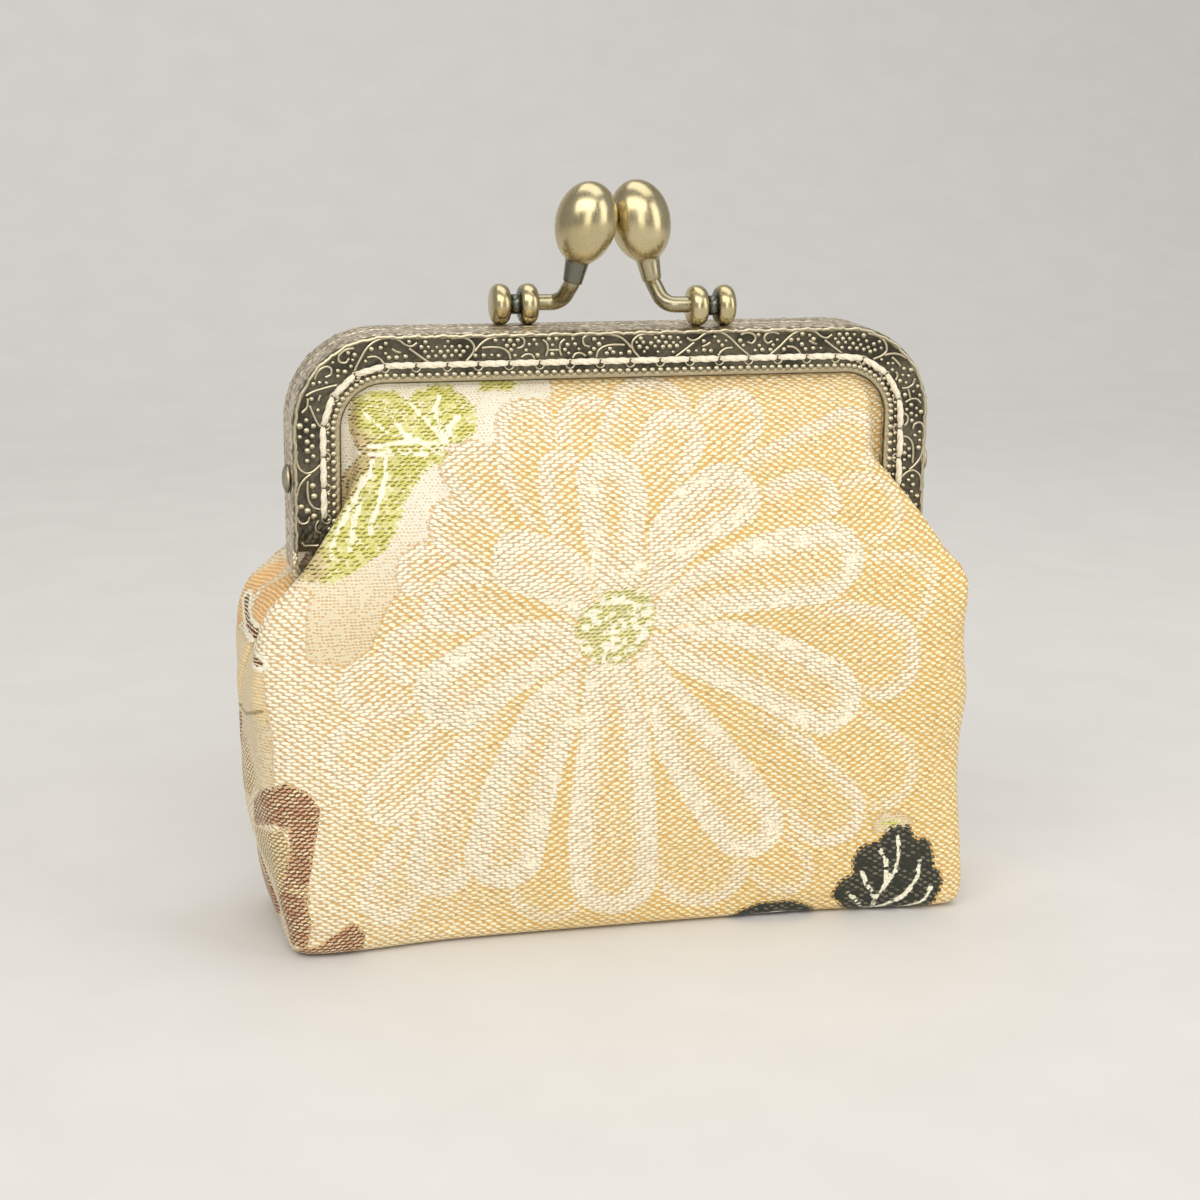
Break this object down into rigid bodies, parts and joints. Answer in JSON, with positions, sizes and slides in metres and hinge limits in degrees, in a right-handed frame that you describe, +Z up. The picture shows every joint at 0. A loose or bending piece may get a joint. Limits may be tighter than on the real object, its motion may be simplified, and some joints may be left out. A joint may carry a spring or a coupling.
{
  "type": "coin purse",
  "caption": "Brocade coin purse with soft gussets, sewn into an embossed antique-brass frame that is hinged at its sides and snaps shut with crossed egg-shaped heads.",
  "frame": {"origin": "on the surface the purse stands on, below the middle of its outer box", "axes": "+Z up, -Y towards the front panel, +X to the right across the front"},
  "size_m": [0.0988, 0.0278, 0.0985],
  "materials": {
    "cloth": "cream and gold woven brocade with a large flower and green leaves",
    "frame_metal": "embossed antique brass with dark recesses and worn raised lines",
    "clasp_metal": "brushed satin antique brass",
    "rivet_metal": "dark antique brass"
  },
  "bodies": {
    "root": {"pouch_front": "cloth", "pouch_back": "cloth", "frame_front": "frame_metal", "frame_back": "frame_metal", "hinge_rivet_left": "rivet_metal", "hinge_rivet_right": "rivet_metal", "clasp_post_left": "clasp_metal", "clasp_post_right": "clasp_metal", "clasp_stem_left": "clasp_metal", "clasp_stem_right": "clasp_metal", "clasp_head_left": "clasp_metal", "clasp_head_right": "clasp_metal"}
  },
  "joints": []
}
